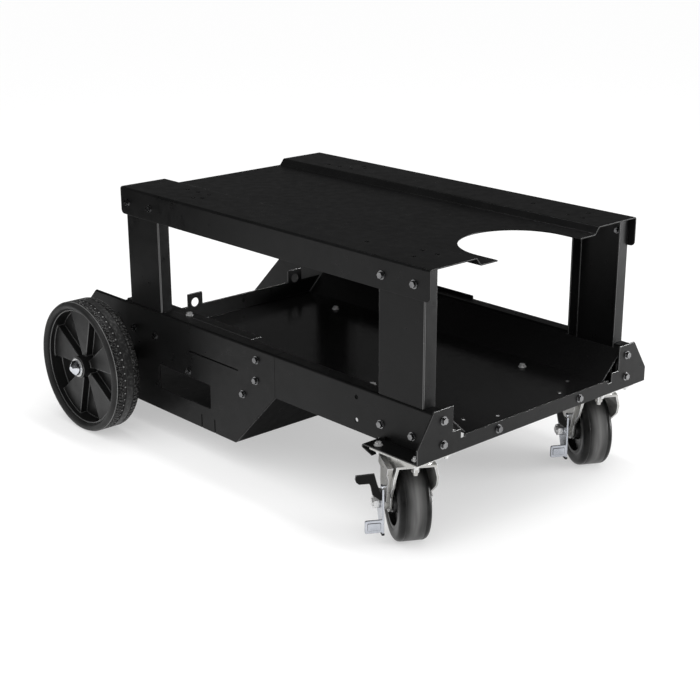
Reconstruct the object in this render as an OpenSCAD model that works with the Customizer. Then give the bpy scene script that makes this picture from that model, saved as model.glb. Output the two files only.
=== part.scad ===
// Low welding cart: a top shelf on four channel posts, a tray between side
// rails, a low gas cylinder platform between two large rear wheels, and two
// braked swivel casters in front.
// Millimetres. +X points to the caster end, +Z is up, and z = 0 is the floor.
// The origin lies on the floor under the middle of the cart's overall length.
// Right is the -Y side and left is the +Y side. Places along the cart are
// measured from the middle of the top shelf.

/* [Shelf] */
// Height of the shelf's top face above the floor
cart_h = 444; // [430:1:520]
// Length of the top shelf
shelf_l = 772; // [765:1:790]
// Width of the top shelf, outside its skirts
shelf_w = 477; // [475:1:485]
// Height of the shelf's side skirts
skirt_h = 49; // [46:1:60]
// Width of the raised strip along each side of the shelf
strip_w = 97.5; // [90:0.5:105]
// Depth of the recess in the middle of the shelf
recess_h = 11.3; // [8:0.1:14]
// Width that the slope at the edge of the recess covers
riser_run = 9; // [6:0.5:14]
// Radius of the round cutout at the shelf's front edge
cut_r = 96; // [80:1:104]
// Distance of the cutout's centre behind the shelf's front edge
cut_back = 40; // [30:1:60]
// Radius of the skirts' rounded lower corners
skirt_corner = 8; // [4:1:12]
// Radius of the small fixing holes in the shelf, rails and tray
small_hole_r = 3.5; // [2.5:0.5:4]

/* [Sheet metal] */
// Thickness of the bent sheet parts
sheet_t = 2.5; // [2:0.5:3]
// Outside radius of the sheet bends
bend_r = 4; // [3.5:0.5:5]
// Thickness of the front plate
plate_t = 3; // [2.5:0.5:4]
// Thickness of the caster brackets
bracket_t = 2; // [1.5:0.5:3]
// Depth of the lip at the rear end of each caster bracket
bracket_lip = 26; // [12:1:26]
// Length of each caster bracket behind its caster plate
bracket_back = 12; // [10:1:18]

/* [Posts] */
// Width of each post along the cart
post_w = 97; // [92:1:104]
// Depth of the posts' flanges across the cart
post_d = 25; // [20:1:34]
// Distance from the shelf's end to the outer edge of a post
post_inset = 11; // [8:1:16]
// Width of the return lip on the rear posts
post_lip = 12; // [8:1:16]
// Depth of the posts' feet below the top of the rails
post_foot = 63; // [58:1:64]
// Distance between the two bolts at each end of a post
post_bolt_gap = 67; // [60:1:67]
// Distance of the bolt pairs behind the middle of their post
post_bolt_back = 5; // [0:1:5]
// Height of the bolts above the feet of the posts
post_bolt_up = 16; // [12:1:20]
// Height of the skirt bolts above the skirt's lower edge
skirt_bolt_up = 22; // [18:1:30]

/* [Base frame] */
// Height of the rails, from their lower edge to the ledge on top
rail_h = 74; // [72:1:84]
// Distance of the rails' lower edge below the tops of the caster brackets
rail_drop = 3.5; // [2:0.5:5]
// Width of the ledge along the top of each rail and panel
ledge_w = 25; // [22:1:28]
// Place of the seam between rails and side panels
seam_x = 38; // [30:1:60]
// Distance of the front plate's rear face beyond the shelf's front edge
front_out = 10; // [8:1:14]
// Height of the low platform's underside
pan_z0 = 45.5; // [40:0.5:60]
// Place of the foot of the slope in front of the low platform
slope_x = -71; // [-80:1:-62]
// Distance of the side panels' rear slope behind the shelf's rear edge
panel_out = 100; // [84:1:114]
// Height of the low platform's rear lip
lip_h = 25.5; // [15:0.5:30]
// Length of the window in each side panel
window_l = 151; // [120:1:155]
// Height of the window in each side panel
window_h = 44; // [30:1:46]
// Place of the window's front edge
window_x = -139; // [-142:1:-136]
// Height of the window's lower edge above the platform's underside
window_up = 42.5; // [40:0.5:44]
// Width of the narrow slits in the side panels
slit_w = 2; // [1.5:0.5:3]
// Length of the long slit above the window
slit_l = 141; // [120:1:150]
// Distance of the long slit's rear end behind the window's front edge
slit_back = 61; // [50:1:70]
// Height of the raised end of the left splice plate above the ledge
splice_up = 6; // [3:1:10]
// Length of the splice plates behind the seam
splice_back = 100; // [96:1:110]
// Length of the splice plates in front of the seam
splice_front = 60; // [40:1:80]
// Distance of the spare rail holes in front of the seam
rail_hole_x = 196; // [150:1:220]
// Distance between the two spare holes in a rail
rail_hole_gap = 37.5; // [30:0.5:40]
// Place of the crossmember under the tray
cross_x = -200; // [-215:1:-190]
// Width of the crossmember
cross_w = 40; // [36:1:44]
// Depth of the crossmember's bolts below the tray floor
cross_bolt_down = 38; // [34:1:40]

/* [Tray] */
// Height of the tray floor above the rails' lower edge
tray_up = 23.4; // [20:0.1:30]
// Width of the tray floor between its sloped sides
tray_w = 324; // [318:1:330]
// Place of the tray's rear wall
tray_rear_x = -336; // [-340:1:-300]
// Height of the tray's rear wall above its floor
tray_wall_h = 30; // [20:1:40]
// Width of each lifting tab on the rear wall
tab_w = 34; // [28:1:44]
// Height of the lifting tabs above the tray floor
tab_h = 53.5; // [50:0.5:60]
// Radius of the hole in each lifting tab
tab_hole_r = 8.5; // [6:0.5:10]
// Distance between the centres of the two lifting tabs
tab_gap = 243.4; // [200:0.1:260]
// Width of the strips that cover the tray's rear edges
cover_w = 22; // [18:1:26]
// Place of the front end of these strips
cover_x = -53; // [-80:1:-30]
// Distance of the crossmember's tray bolts from the middle of the cart
cross_tray_y = 118; // [110:1:130]
// Distance of the front tray bolts from the middle of the cart
tray_bolt_y = 125; // [110:1:140]

/* [Front plate] */
// Height of the low middle part of the front plate
front_h = 22; // [20:1:24]
// Distance of the gussets' feet outside the shelf's width
gusset_out = 33; // [27.5:0.5:36]
// Height of the gussets' straight outer edge
gusset_edge = 22.5; // [15:0.5:30]
// Height of the gussets
gusset_h = 74; // [70:1:76]
// Width of each gusset inside the shelf's width
gusset_w = 41; // [34:0.5:48]
// Height of the step at the inside of each gusset
step_h = 33; // [28:1:40]
// Width of the step at the inside of each gusset
step_w = 17.5; // [12:0.5:20]
// Width of the notch beside each step
notch_w = 8; // [5:0.5:10]
// Distance of the gusset bolts inside the shelf's width
gusset_bolt_in = 20.5; // [18.5:0.5:23]
// Height of the lower gusset bolts above the plate's foot
gusset_bolt_up = 18; // [17:0.5:20]
// Distance between the two bolts of a gusset
gusset_bolt_gap = 37.5; // [34:0.5:38]
// Distance of the two low bolts from the middle of the cart
strip_bolt_y = 97; // [80:1:120]
// Height of the two low bolts above the plate's foot
strip_bolt_up = 10; // [8:0.5:11]

/* [Rear wheels] */
// Diameter of the rear wheels
wheel_d = 242; // [236:1:260]
// Width of the rear wheels
wheel_w = 58; // [50:1:62]
// Gap between the side panels and the wheels' inner faces
wheel_gap = 44.5; // [42:0.5:60]
// Distance of the rear axle behind the shelf's rear edge
axle_out = 17; // [4:1:24]
// Diameter of the rear axle
axle_d = 20; // [16:1:22]
// Radius of the rim where the tyre sits
rim_r = 107; // [98:1:108]
// Distance of the rim's edges inside the wheel's faces
rim_inset = 7; // [4:1:9]
// Radius of the rear hub
hub_r = 20; // [18:1:28]
// Number of raised fan spokes in each rim
spokes = 5; // [4:1:7]
// Share of the circle that the raised spokes take
spoke_share = 0.5; // [0.4:0.02:0.6]
// Turn of the spokes, as the angle of the first one from the cart's length
fan_turn = 93; // [0:1:120]
// Depth of the spokes' faces behind the rim's edge
spoke_in = 10; // [4:1:12]
// Depth of the pockets between the spokes, behind the rim's edge
pocket_h = 24; // [16:1:26]

/* [Casters] */
// Distance of the casters' swivel axes behind the front plate
caster_back = 52; // [50:1:54]
// Distance of the swivel axes inside the cart's sides, before their shift
caster_in = 21; // [18:0.5:24]
// Shift of both casters towards the right side
caster_shift = 9.5; // [8:0.5:12]
// Angle of the caster axles from the cart's length
swivel_turn = 59; // [0:0.5:180]
// Distance of the caster axle behind the swivel axis
trail = 28; // [26:1:34]
// Diameter of the caster wheels
caster_d = 127; // [120:1:130]
// Width of the caster wheels
caster_w = 50; // [44:1:52]
// Gap between the caster wheels and the crowns of their forks
crown_gap = 11.5; // [8:0.5:14]
// Thickness of the forks' crowns
crown_t = 4; // [3:0.5:5]
// Height of the swivel bearing between a crown and its plate
bearing_h = 12.5; // [12:0.5:14]
// Width of the fork outside its legs
fork_w = 62; // [60:1:66]
// Thickness of the fork's legs
fork_t = 4; // [3:0.5:4.5]
// Bulge of the fork's legs beside the top of the wheel
fork_bulge = 4; // [2:0.5:5]
// Length of the caster plates along the cart
caster_plate_l = 102; // [96:1:104]
// Width of the caster plates across the cart
caster_plate_w = 86; // [82:1:92]
// Thickness of the caster plates
caster_plate_t = 3.5; // [3:0.5:5]
// Distance between the caster bolts along the cart
caster_bolt_x = 80; // [74:1:82]
// Distance between the caster bolts across the cart
caster_bolt_y = 63; // [56:1:65]
// Diameter of the caster axle bolts
caster_axle_d = 12; // [10:1:12]
// Depth of the brake guard outside the fork
guard_w = 13; // [11:0.5:13]
// Thickness of the brake guard's sheet
guard_t = 2; // [1.5:0.5:2.5]
// Reach of the upper brake pedal outside the fork
pedal_reach = 55; // [40:1:58]
// Reach of the lower brake tab outside the fork
tab_reach = 40; // [30:1:44]

/* [Fasteners] */
// Diameter of the frame bolts
bolt_d = 6; // [5:0.5:6]
// Width across the corners of the bolts' heads and nuts
head_d = 10.5; // [9.5:0.5:11]
// Height of the bolts' heads
head_h = 4; // [3:0.5:4.5]
// Thickness of the flanges under the bolts' heads
collar_t = 1; // [0.8:0.1:1.5]
// Width of the flange that shows round a bolt's head
collar_w = 1.7; // [1:0.1:2]
// Length of bolt that stands out past the sheets
bolt_tail = 8; // [6:0.5:9]

/* [Hidden] */
$fn = 48;

// Radial clearance of a turning fit
run_gap = 0.05;
// Clearance between a moving part and its neighbour
free_gap = 0.4;
// Clearance round a bolt in its hole
hole_gap = 0.2;
// Clearance round a post where it passes through a ledge
slot_gap = 0.5;

// Heights that stack up from the floor through the casters
caster_h = caster_d + crown_gap + crown_t + bearing_h + caster_plate_t;
bracket_z1 = caster_h + bracket_t;
rail_z0 = bracket_z1 - rail_drop;
base_h = rail_z0 + rail_h;

side_y = shelf_w / 2;
in_y = side_y - sheet_t;
web_y = in_y - sheet_t;
shelf_x1 = shelf_l / 2;
front_x = shelf_x1 + front_out;
panel_rear_x = -shelf_x1 - panel_out;
axle_x = -shelf_x1 - axle_out;
skirt_z0 = cart_h - skirt_h;
strip_y = side_y - strip_w;
recess_y = strip_y - riser_run;
post_x = shelf_x1 - post_inset - post_w / 2;
clip_l = 18;
post_z0 = base_h - post_foot;
post_z1 = cart_h - bend_r - slot_gap;
bolt_r = bolt_d / 2;
hole_r = bolt_r + hole_gap;
collar_r = head_d / 2 + collar_w;
tray_z = rail_z0 + tray_up;
tray_y = tray_w / 2;
ledge_y = side_y - ledge_w;
axle_z = wheel_d / 2;
axle_r = axle_d / 2;
rear_x = panel_rear_x - (base_h - pan_z0 - lip_h);
front_end = front_x + plate_t + head_h + collar_t;
// Place of the shelf's middle in the cart's own frame
cart_x = -(rear_x + front_end) / 2;
wheel_y = side_y + wheel_gap;
hub_out = wheel_y + wheel_w - 2;
hub_in = wheel_y + 1;
washer_t = 2;
cap_r = 14;
cap_h = 12;
axle_end = hub_out + free_gap + washer_t + cap_h / 2;
gusset_y = side_y + gusset_out;
gusset_in = side_y - gusset_w;
gusset_bolt_y = side_y - gusset_bolt_in;
caster_x = front_x - caster_back;
caster_y = side_y - caster_in;
bracket_x0 = caster_x - caster_plate_l / 2 - bracket_back;
ledge_rear_x = -post_x - post_w / 2 - clip_l;
fork_in = fork_w / 2 - fork_t;
fork_out = fork_w / 2;
caster_r = caster_d / 2;
crown_z1 = caster_d + crown_gap + crown_t;
cam_h = 9.5;
lever_x = fork_out + cam_h + free_gap;
lever_t = 3.5;
caster_axle_r = caster_axle_d / 2;
bush_r = caster_axle_r + 3;
cover_bolt_x = -post_x + post_w / 2 + 44;
cover_bolt_y = ledge_y - 6;

// Skirt bolts and post foot bolts, each as [x, z]
post_bolts = [for (end = [-1, 1]) for (side = [-1, 1])
    for (z = [post_z0 + post_bolt_up, skirt_z0 + skirt_bolt_up])
        [end * post_x + side * post_bolt_gap / 2 - post_bolt_back, z]];
// Bolts that join the side panels to the splice plates, each as [x, z]
splice_bolts = [[seam_x - 47, base_h - 20], [seam_x - 50, base_h - 57],
    [seam_x - 85, base_h - 90]];
splice_edge = 7;
// Bolts that hold the crossmember under the tray to the side panels
cross_bolt = [cross_x, tray_z - cross_bolt_down];
side_bolts = concat(post_bolts, splice_bolts, [cross_bolt]);
// Bolts in the front plate, each as [y, z]
gusset_bolts = [for (side = [-1, 1]) for (up = [gusset_bolt_up, gusset_bolt_up + gusset_bolt_gap])
    [side * gusset_bolt_y, bracket_z1 + up]];
strip_bolts = [for (side = [-1, 1]) [side * strip_bolt_y, bracket_z1 + strip_bolt_up]];
// Holes through the tray floor for its bolts, each as [x, y]
tray_bolt_at = [[cross_x - 10, cross_tray_y], [cross_x - 10, -cross_tray_y],
    [front_x - 142, tray_bolt_y], [front_x - 246, -tray_bolt_y]];
// Spare holes near the tray's front edge, each as [x, y]
tray_holes = [for (side = [-1, 1]) for (p = [[front_x - 44, 124.5], [front_x - 19, 74]])
    [p[0], side * p[1]]];
// Spare holes in the raised strips, from the shelf's ends, each as [x, y]
shelf_holes = [for (side = [-1, 1])
    for (p = [[shelf_x1 - 85, 168], [shelf_x1 - 54, 168], [shelf_x1 - 69.5, 201.5],
            [shelf_x1 - 178.5, 192], [105 - shelf_x1, 167], [136 - shelf_x1, 167],
            [167 - shelf_x1, 167], [180 - shelf_x1, 191], [167 - shelf_x1, 201]])
        [p[0], side * p[1]]];

// Helpers for bent sheet: a path with rounded corners, and a strip beside it
function unit(v) = v / norm(v);
function left_of(v) = [-v[1], v[0]];
function turn(a) = a > 180 ? a - 360 : a < -180 ? a + 360 : a;
function corner(a, b, c, r, steps) =
    let (d1 = unit(a - b), d2 = unit(c - b), half = acos(d1 * d2) / 2,
        centre = b + unit(d1 + d2) * r / sin(half),
        p = b + d1 * r / tan(half) - centre, q = b + d2 * r / tan(half) - centre,
        a0 = atan2(p[1], p[0]), sweep = turn(atan2(q[1], q[0]) - a0))
    [for (i = [0 : steps]) centre + r * [cos(a0 + sweep * i / steps), sin(a0 + sweep * i / steps)]];
function rounded(path, r, steps = 3) = concat([path[0]],
    [for (i = [1 : len(path) - 2]) for (p = corner(path[i - 1], path[i], path[i + 1], r, steps)) p],
    [path[len(path) - 1]]);
function offset_point(path, i, t) =
    let (n = len(path),
        before = left_of(unit(i > 0 ? path[i] - path[i - 1] : path[1] - path[0])),
        after = left_of(unit(i < n - 1 ? path[i + 1] - path[i] : path[n - 1] - path[n - 2])))
    path[i] + (before + after) / (1 + before * after) * t;
function strip(path, t) = concat(path,
    [for (i = [len(path) - 1 : -1 : 0]) offset_point(path, i, t)]);

// A bent sheet of thickness t on the left of its path, its bends rounded by r
module bent(path, t, r = bend_r) polygon(strip(rounded(path, r), t));

// Places children that are measured from the middle of the shelf
module cart() translate([cart_x, 0, 0]) children();

// Extrudes a [y, z] outline along X from x0 to x1
module along_x(x0, x1) translate([x0, 0, 0]) rotate([90, 0, 90]) linear_extrude(x1 - x0) children();

// Extrudes an [x, z] outline along Y from y0 to y1
module along_y(y0, y1) translate([0, y1, 0]) rotate([90, 0, 0]) linear_extrude(y1 - y0) children();

// A round bar along X from x0 to x1
module bar_x(r, x0, x1) translate([x0, 0, 0]) rotate([0, 90, 0]) cylinder(r = r, h = x1 - x0);

// A round bar along Y from y0 to y1
module bar_y(r, y0, y1) translate([0, y0, 0]) rotate([-90, 0, 0]) cylinder(r = r, h = y1 - y0);

// A rectangle with rounded corners, from its lower left corner
module plate_2d(l, w, r) {
    translate([r, 0]) square([l - 2 * r, w]);
    translate([0, r]) square([l, w - 2 * r]);
    for (x = [r, l - r])
        for (y = [r, w - r])
            translate([x, y]) circle(r);
}

// Mirrors a right-hand part to the side that is asked for, -1 right and 1 left
module on_side(side) mirror([0, side > 0 ? 1 : 0, 0]) children();

// Bolt holes through the sheets of one side, cut from y0 outwards
module side_holes(points, r = hole_r) {
    for (p = points)
        translate([p[0], 0, p[1]]) bar_y(r, -side_y - 5, -web_y + 5);
}

// Rounds the lower corners of a skirt of length l about x = 0
module skirt_corners() {
    for (end = [-1, 1])
        translate([end * (shelf_x1 - skirt_corner), 0, skirt_z0 + skirt_corner])
            difference() {
                translate([end > 0 ? 0 : -skirt_corner - 1, -side_y - 1, -skirt_corner - 1])
                    cube([skirt_corner + 1, shelf_w + 2, skirt_corner + 1]);
                bar_y(skirt_corner, -side_y - 2, side_y + 2);
            }
}

module top_shelf() {
    half = [[side_y, skirt_z0], [side_y, cart_h], [strip_y, cart_h], [recess_y, cart_h - recess_h]];
    path = concat(half, [for (i = [3 : -1 : 0]) [-half[i][0], half[i][1]]]);
    relief = 3;
    cart() color("#1c1c1d") difference() {
        along_x(-shelf_x1, shelf_x1) bent(path, sheet_t);
        skirt_corners();
        translate([shelf_x1 - cut_back, 0, 0]) cylinder(r = cut_r, h = cart_h + 1, $fn = 96);
        translate([shelf_x1 - cut_back, -cut_r, 0]) cube([cut_back + 1, 2 * cut_r, cart_h + 1]);
        for (p = shelf_holes)
            translate([p[0], p[1], skirt_z0]) cylinder(r = small_hole_r, h = skirt_h + 1);
        for (side = [-1, 1])
            on_side(side) side_holes(post_bolts);
        for (end = [-1, 1])
            for (side = [-1, 1])
                for (inset = [15, 116])
                    translate([end * (shelf_x1 - inset) - slit_w / 2, side * side_y - relief,
                            cart_h - relief])
                        cube([slit_w, 2 * relief, 2 * relief]);
    }
}

// A channel post on the right side, its flanges towards the middle of the cart
module post(x, lip) {
    w = post_w / 2;
    flange_y = -in_y + post_d;
    web = [[-w, flange_y], [-w, -in_y], [w, -in_y], [w, flange_y]];
    lipped = concat([[-w + lip, flange_y]], web, [[w - lip, flange_y]]);
    translate([x, 0, 0]) difference() {
        translate([0, 0, post_z0]) linear_extrude(post_z1 - post_z0)
            bent(lip > 0 ? lipped : web, sheet_t);
        translate([-x, 0, 0]) side_holes(post_bolts);
        if (lip > 0)
            translate([-w - 1, -in_y + sheet_t + slot_gap, post_z0 - 1])
                cube([post_w + 2, post_d, base_h - sheet_t - post_z0 - 4]);
    }
}

module front_post(side) cart() color("#242424") on_side(side) post(post_x, 0);

module rear_post(side) cart() color("#242424") on_side(side) post(-post_x, post_lip);

// Small angle clips on the ledges behind the feet of the rear posts
module rear_post_clips() {
    clip_h = 11;
    foot = [[-clip_l, 0], [0, 0], [0, clip_h]];
    cart() color("#1c1c1d") for (side = [-1, 1])
        on_side(side) translate([-post_x - post_w / 2, 0, base_h])
            along_y(-in_y + 4, -in_y + post_d - 4) bent(foot, sheet_t, sheet_t + 0.5);
}

// Openings in the ledges where the posts pass through
module post_slots() {
    for (end = [-1, 1])
        translate([end * post_x - post_w / 2 - slot_gap, -in_y, base_h - sheet_t - 3])
            cube([post_w + 2 * slot_gap, ledge_w + 10, sheet_t + 4]);
}

// Upright sheet with a ledge along its top, on the right side
module ledge_profile(z0) bent([[-ledge_y, base_h], [-side_y, base_h], [-side_y, z0]], sheet_t);

module front_rail(side) {
    z0 = bracket_z1 + head_h + collar_t + 3;
    z1 = base_h - sheet_t - 4.5;
    y1 = ledge_y;
    y0 = y1 - (z1 - z0) / 3;
    end_flange = [[-in_y - 0.5, z0], [-y0, z0], [-y0, z1 - (y1 - y0) - 1],
        [-y1, z1 - 1], [-in_y - 0.5, z1 - 1]];
    cart() color("#2b2b2b") on_side(side) difference() {
        union() {
            along_x(seam_x, front_x) ledge_profile(rail_z0);
            along_x(front_x - sheet_t, front_x) polygon(end_flange);
        }
        translate([bracket_x0, -side_y - 1, rail_z0 - 1])
            cube([front_x - bracket_x0 + 1, sheet_t + 60, bracket_z1 - rail_z0 + 1]);
        post_slots();
        side_holes(post_bolts);
        for (down = [18, 18 + rail_hole_gap])
            side_holes([[seam_x + rail_hole_x, base_h - down]], small_hole_r);
        for (p = gusset_bolts)
            translate([0, p[0], p[1]]) bar_x(hole_r, front_x - 20, front_x + 1);
        for (dx = [-1, 1])
            for (y = [caster_y - caster_shift, caster_y + caster_shift])
                translate([caster_x + dx * caster_bolt_x / 2, -y - caster_bolt_y / 2, rail_z0 - 1])
                    cylinder(r = collar_r + 1, h = bracket_z1 - rail_z0 + head_h + collar_t + 2);
    }
}

// Plate inside the seam, which ties a rail to its side panel
module splice(side) {
    under = base_h - sheet_t - 3;
    top = side > 0 ? base_h + splice_up : under;
    x0 = seam_x - splice_back;
    x1 = seam_x + splice_front;
    low = splice_bolts[2][1] - splice_edge;
    high = splice_bolts[1][1] - splice_edge;
    outline = [[x0, low], [splice_bolts[2][0] + splice_edge + 20, low],
        [splice_bolts[1][0] + 2 * splice_edge + 30, high], [x1, high], [x1, under],
        [seam_x, under], [seam_x, top], [x0, top]];
    cart() color("#242424") on_side(side) difference() {
        along_y(-in_y, -web_y) polygon(outline);
        side_holes(splice_bolts);
    }
}

// Outline of a side panel, as [x, z]
panel_outline = [[seam_x, base_h + 1], [seam_x, rail_z0], [slope_x, pan_z0], [rear_x, pan_z0],
    [rear_x, pan_z0 + lip_h], [panel_rear_x - 1, base_h + 1]];

module side_panel(side) {
    cart() color("#2b2b2b") on_side(side) difference() {
        intersection() {
            along_x(rear_x, seam_x) ledge_profile(pan_z0);
            along_y(-side_y - 1, 0) polygon(panel_outline);
        }
        translate([rear_x - 1, -in_y, base_h - sheet_t - 3])
            cube([ledge_rear_x - rear_x + 1, ledge_w, sheet_t + 4]);
        post_slots();
        if (side > 0)
            translate([seam_x - splice_back - slot_gap, -in_y, base_h - sheet_t - 3])
                cube([splice_back + 1, sheet_t + slot_gap, sheet_t + 4]);
        side_holes(side_bolts);
        translate([axle_x, 0, axle_z]) bar_y(axle_r + hole_gap, -side_y - 1, -in_y + 1);
        along_y(-side_y - 1, -in_y + 1) {
            translate([window_x - window_l, pan_z0 + window_up]) plate_2d(window_l, window_h, 3);
            translate([window_x - slit_back, tray_z - slit_w / 2]) square([slit_l, slit_w]);
            for (x = [-28.5, 9])
                translate([window_x + x, pan_z0 - 1]) square([slit_w, lip_h + 1]);
        }
    }
}

// One bent sheet: the slope in front, the low floor and the lip behind it
module cylinder_platform() {
    path = [[rear_x, pan_z0 + lip_h], [rear_x, pan_z0], [slope_x, pan_z0], [seam_x, rail_z0]];
    cart() color("#1c1c1d") along_y(-in_y, in_y) bent(path, sheet_t);
}

module tray() {
    wall_top = base_h - sheet_t;
    half = [[web_y - sheet_t, wall_top], [ledge_y, wall_top], [tray_y, tray_z]];
    path = concat(half, [for (i = [2 : -1 : 0]) [-half[i][0], half[i][1]]]);
    cart() color("#161617") difference() {
        union() {
            along_x(tray_rear_x, front_x - sheet_t - free_gap) bent(path, sheet_t);
            translate([front_x - sheet_t, -tray_y + bend_r, bracket_z1 + 1])
                cube([sheet_t, tray_w - 2 * bend_r, tray_z - bracket_z1 - 1]);
            translate([front_x - 2 * sheet_t, -tray_y + bend_r, tray_z - sheet_t])
                cube([2 * sheet_t, tray_w - 2 * bend_r, sheet_t]);
        }
        for (p = tray_bolt_at)
            translate([p[0], p[1], tray_z - 10]) cylinder(r = hole_r, h = 20);
        for (p = tray_holes)
            translate([p[0], p[1], tray_z - 10]) cylinder(r = small_hole_r, h = 20);
        for (p = strip_bolts)
            translate([0, p[0], p[1]]) bar_x(hole_r, front_x - 20, front_x + 1);
        for (side = [-1, 1])
            on_side(side) for (end = [-1, 1])
                translate([end * post_x - post_w / 2 - slot_gap, -in_y, wall_top - 4 * sheet_t])
                    cube([post_w + 2 * slot_gap, post_d + slot_gap, 4 * sheet_t + 2]);
    }
}

// Upright wall behind the tray, with two lifting tabs
module tray_rear_wall() {
    edge = tray_wall_h + tray_y - 5;
    outline = [[-tray_y + 4, 0], [tray_y - 4, 0], [edge, tray_wall_h], [-edge, tray_wall_h]];
    cart() color("#1c1c1d") translate([0, 0, tray_z]) difference() {
        along_x(tray_rear_x, tray_rear_x + sheet_t) {
            polygon(outline);
            for (side = [-1, 1])
                translate([side * tab_gap / 2 - tab_w / 2, 0]) plate_2d(tab_w, tab_h, 2);
        }
        for (side = [-1, 1])
            translate([0, side * tab_gap / 2, tab_h - 18])
                bar_x(tab_hole_r, tray_rear_x - 1, tray_rear_x + sheet_t + 1);
    }
}

// Channel under the tray, bolted to both side panels
module tray_crossmember() {
    w = cross_w;
    top = tray_z - sheet_t;
    foot = cross_bolt[1] - 9;
    path = [[-w / 2, foot], [-w / 2, top], [w / 2, top], [w / 2, foot]];
    cart() color("#242424") translate([cross_x, 0, 0]) difference() {
        union() {
            along_y(-web_y, web_y) bent(path, -sheet_t);
            for (side = [-1, 1])
                on_side(side) translate([-w / 2, -in_y, foot]) cube([w, sheet_t, top - foot]);
        }
        for (side = [-1, 1])
            on_side(side) side_holes([[0, cross_bolt[1]]]);
        for (side = [-1, 1])
            translate([-10, side * cross_tray_y, top - 10]) cylinder(r = hole_r, h = 20);
    }
}

// Flat strips that lie along the tray's rear edges, beside the ledges
module cover_strips() {
    cart() color("#1c1c1d") for (side = [-1, 1])
        on_side(side) difference() {
            translate([tray_rear_x, -ledge_y + 0.5, base_h - sheet_t])
                cube([cover_x - tray_rear_x, cover_w, sheet_t]);
            translate([-post_x - post_w / 2 - slot_gap, -in_y, base_h - sheet_t - 1])
                cube([post_w + 2 * slot_gap, post_d + slot_gap, sheet_t + 2]);
            translate([cover_bolt_x, -cover_bolt_y, base_h - 5]) cylinder(r = hole_r, h = 10);
        }
}

module front_plate() {
    half = [[gusset_y, -bracket_t], [gusset_y, gusset_edge], [side_y - 1, gusset_h], [gusset_in, gusset_h],
        [gusset_in, step_h], [gusset_in - step_w, step_h], [gusset_in - step_w, front_h - 5],
        [gusset_in - step_w - notch_w, front_h - 5], [gusset_in - step_w - notch_w, front_h]];
    outline = concat(half, [for (i = [8 : -1 : 0]) [-half[i][0], half[i][1]]]);
    cart() color("#2e2d2c") difference() {
        translate([0, 0, bracket_z1]) along_x(front_x, front_x + plate_t) polygon(outline);
        for (p = concat(gusset_bolts, strip_bolts))
            translate([0, p[0], p[1]]) bar_x(hole_r, front_x - 1, front_x + plate_t + 1);
    }
}

// Swivel axis of a caster, across the cart
function swivel_y(side) = side * caster_y - caster_shift;

// Centres of the four bolts of a caster, as [x, y]
function caster_bolt_at(side) = [for (dx = [-1, 1]) for (dy = [-1, 1])
    [caster_x + dx * caster_bolt_x / 2, swivel_y(side) + dy * caster_bolt_y / 2]];

// Black plate between the rail and the caster. Its rear end is turned down as
// a lip, which slopes up to the plate's outer edge.
module caster_bracket(side) {
    x0 = bracket_x0;
    foot = bracket_z1 - bracket_lip;
    slope = bracket_lip - 5;
    inner = caster_y - caster_shift - caster_plate_w / 2 - 4;
    lip = [[x0, foot], [x0, bracket_z1], [front_x, bracket_z1]];
    cart() color("#171717") difference() {
        on_side(side) difference() {
            along_y(-gusset_y, -inner) bent(lip, -bracket_t);
            translate([x0 - 1, 0, 0]) rotate([90, 0, 90]) linear_extrude(bracket_t + 2)
                polygon([[-gusset_y - 1, foot - 1], [-gusset_y + slope, foot - 1],
                    [-gusset_y - 1, foot + slope]]);
        }
        for (p = caster_bolt_at(side))
            translate([p[0], p[1], caster_h - 20]) cylinder(r = hole_r, h = 40);
    }
}

module rear_axle() {
    cart() color("#b8babc") translate([axle_x, 0, axle_z]) bar_y(axle_r, -axle_end, axle_end);
}

// A ring along Y round the rear axle, on the side that is asked for
module axle_ring(side, r, y0, y1) {
    on_side(side) translate([axle_x, 0, axle_z]) difference() {
        bar_y(r, -y1, -y0);
        bar_y(axle_r + run_gap, -y1 - 1, -y0 + 1);
    }
}

module axle_spacers() {
    cart() color("#8d9094") for (side = [-1, 1])
        axle_ring(side, axle_r + 4, side_y, hub_in - free_gap);
}

module axle_washers() {
    cart() color("#b8babc") for (side = [-1, 1])
        axle_ring(side, axle_r + 7, hub_out + free_gap, hub_out + free_gap + washer_t);
}

// Domed push caps on the ends of the rear axle
module axle_caps() {
    y0 = hub_out + free_gap + washer_t;
    dome = [[axle_r + run_gap, 0], [cap_r, 0], [cap_r, 3], [cap_r - 1.2, 6], [cap_r - 4.5, 8.8],
        [cap_r - 9, cap_h], [0, cap_h], [0, cap_h / 2 + 0.5], [axle_r + run_gap, cap_h / 2 + 0.5]];
    cart() color("#d5d7d9") for (side = [-1, 1])
        on_side(side) translate([axle_x, -y0, axle_z]) rotate([90, 0, 0])
            rotate_extrude() polygon(dome);
}

// Places a wheel that is drawn along +Z, its inner face at z = 0
module rear_wheel(side) cart() translate([axle_x, side * wheel_y, axle_z]) rotate([-90 * side, 0, 0])
    children();

// A fan of spokes from r0 to r1, each covering the angle wide
module fan(r0, r1, wide, h) {
    for (k = [0 : spokes - 1])
        rotate([0, 0, fan_turn + k * 360 / spokes]) linear_extrude(h) difference() {
            intersection() {
                circle(r1, $fn = 72);
                polygon([[0, 0], 2 * r1 * [cos(wide / 2), -sin(wide / 2)],
                    2 * r1 * [cos(wide / 2), sin(wide / 2)]]);
            }
            circle(r0);
        }
}

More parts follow.
